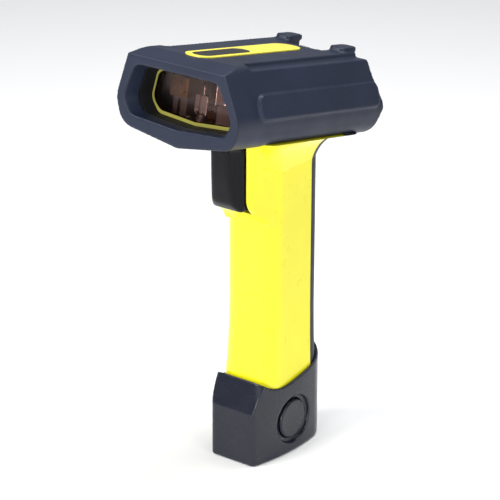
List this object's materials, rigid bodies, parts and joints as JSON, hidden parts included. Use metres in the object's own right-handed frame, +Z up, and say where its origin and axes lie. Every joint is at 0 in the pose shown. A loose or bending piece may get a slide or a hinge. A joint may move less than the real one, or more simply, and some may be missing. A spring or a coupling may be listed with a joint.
{
  "type": "barcode scanner",
  "caption": "Cordless pistol-grip barcode scanner with a hooded nose, rubber boot, rocking trigger and a battery pack that drops out of the handle.",
  "frame": {"origin": "centre of the battery cap's flat bottom, on the surface the scanner stands on", "axes": "+Z up, the nose points to -Y, +X to the user's left"},
  "size_m": [0.0748, 0.1157, 0.2182],
  "materials": {
    "boot_rubber": "fine matt grain",
    "cap_plastic": "satin",
    "seal_rubber": "smooth",
    "yellow_shell": "satin gloss",
    "frame_plastic": "as moulded",
    "hood_plastic": "matt",
    "label_film": null,
    "window_tint": "tinted",
    "window_print": "printed line",
    "lens_grey": "translucent",
    "steel_bright": "plated",
    "trigger_plastic": "gloss",
    "switch_black": "as moulded",
    "board_green": "solder mask",
    "chip_black": "epoxy",
    "can_metal": "tinned",
    "antenna_gold": "plated trace",
    "chassis_metal": "die cast",
    "ribbon_amber": "polyimide",
    "laser_brass": "machined",
    "mirror_front": "coated",
    "coil_copper": "enamelled wire",
    "contact_gold": "plated",
    "pack_plastic": "as moulded",
    "cell_wrap": "shrink wrap"
  },
  "bodies": {
    "scanner": {"beeper": "chip_black", "board_chips": "chip_black", "collector_mirror": "mirror_front", "contact_block": "switch_black", "contact_pins": "contact_gold", "detector_board": "board_green", "drive_coil": "coil_copper", "engine_chassis": "chassis_metal", "engine_ribbon": "ribbon_amber", "engine_screws": "steel_bright", "grip_spine": "boot_rubber", "head_boot": "boot_rubber", "head_frame": "frame_plastic", "hood_liner": "hood_plastic", "housing_left": "yellow_shell", "housing_right": "yellow_shell", "housing_screws": "steel_bright", "laser_module": "laser_brass", "laser_mount": "chassis_metal", "main_board": "board_green", "mirror_bracket": "chassis_metal", "mirror_shaft": "steel_bright", "photodiode": "chip_black", "radio_antenna": "antenna_gold", "radio_module": "can_metal", "scan_window": "window_tint", "status_lenses": "lens_grey", "top_label": "label_film", "trigger_board": "board_green", "trigger_pin": "steel_bright", "trigger_spring": "steel_bright", "trigger_switch": "switch_black", "window_border": "window_print", "window_seal": "seal_rubber"},
    "trigger": {"trigger": "trigger_plastic"},
    "scan_mirror": {"scan_mirror": "mirror_front", "mirror_magnet": "can_metal"},
    "battery": {"battery_cap": "cap_plastic", "battery_case": "pack_plastic", "battery_cells": "cell_wrap", "battery_contacts": "contact_gold", "battery_seal": "seal_rubber", "charge_contacts": "contact_gold", "pack_board": "board_green", "latch_spring_left": "steel_bright", "latch_spring_right": "steel_bright"},
    "latch_left": {"latch_button_left": "cap_plastic"},
    "latch_right": {"latch_button_right": "cap_plastic"}
  },
  "joints": [
    {"name": "trigger_pull", "type": "hinge", "parent": "scanner", "child": "trigger", "pos_m": [0, -0.026, 0.161], "axis": [1, 0, 0], "range_deg": [0, 6], "deforming": ["trigger_spring"]},
    {"name": "mirror_swing", "type": "hinge", "parent": "scanner", "child": "scan_mirror", "pos_m": [-0.005, -0.0435, 0.18965], "axis": [0, 0.1908, 0.9816], "range_deg": [-12, 12]},
    {"name": "battery_slide", "type": "slide", "parent": "scanner", "child": "battery", "axis": [0, 0, -1], "range_m": [0, 0.085]},
    {"name": "latch_left_press", "type": "slide", "parent": "battery", "child": "latch_left", "axis": [-1, 0, 0], "range_m": [0, 0.0025], "deforming": ["latch_spring_left"]},
    {"name": "latch_right_press", "type": "slide", "parent": "battery", "child": "latch_right", "axis": [1, 0, 0], "range_m": [0, 0.0025], "deforming": ["latch_spring_right"]}
  ]
}
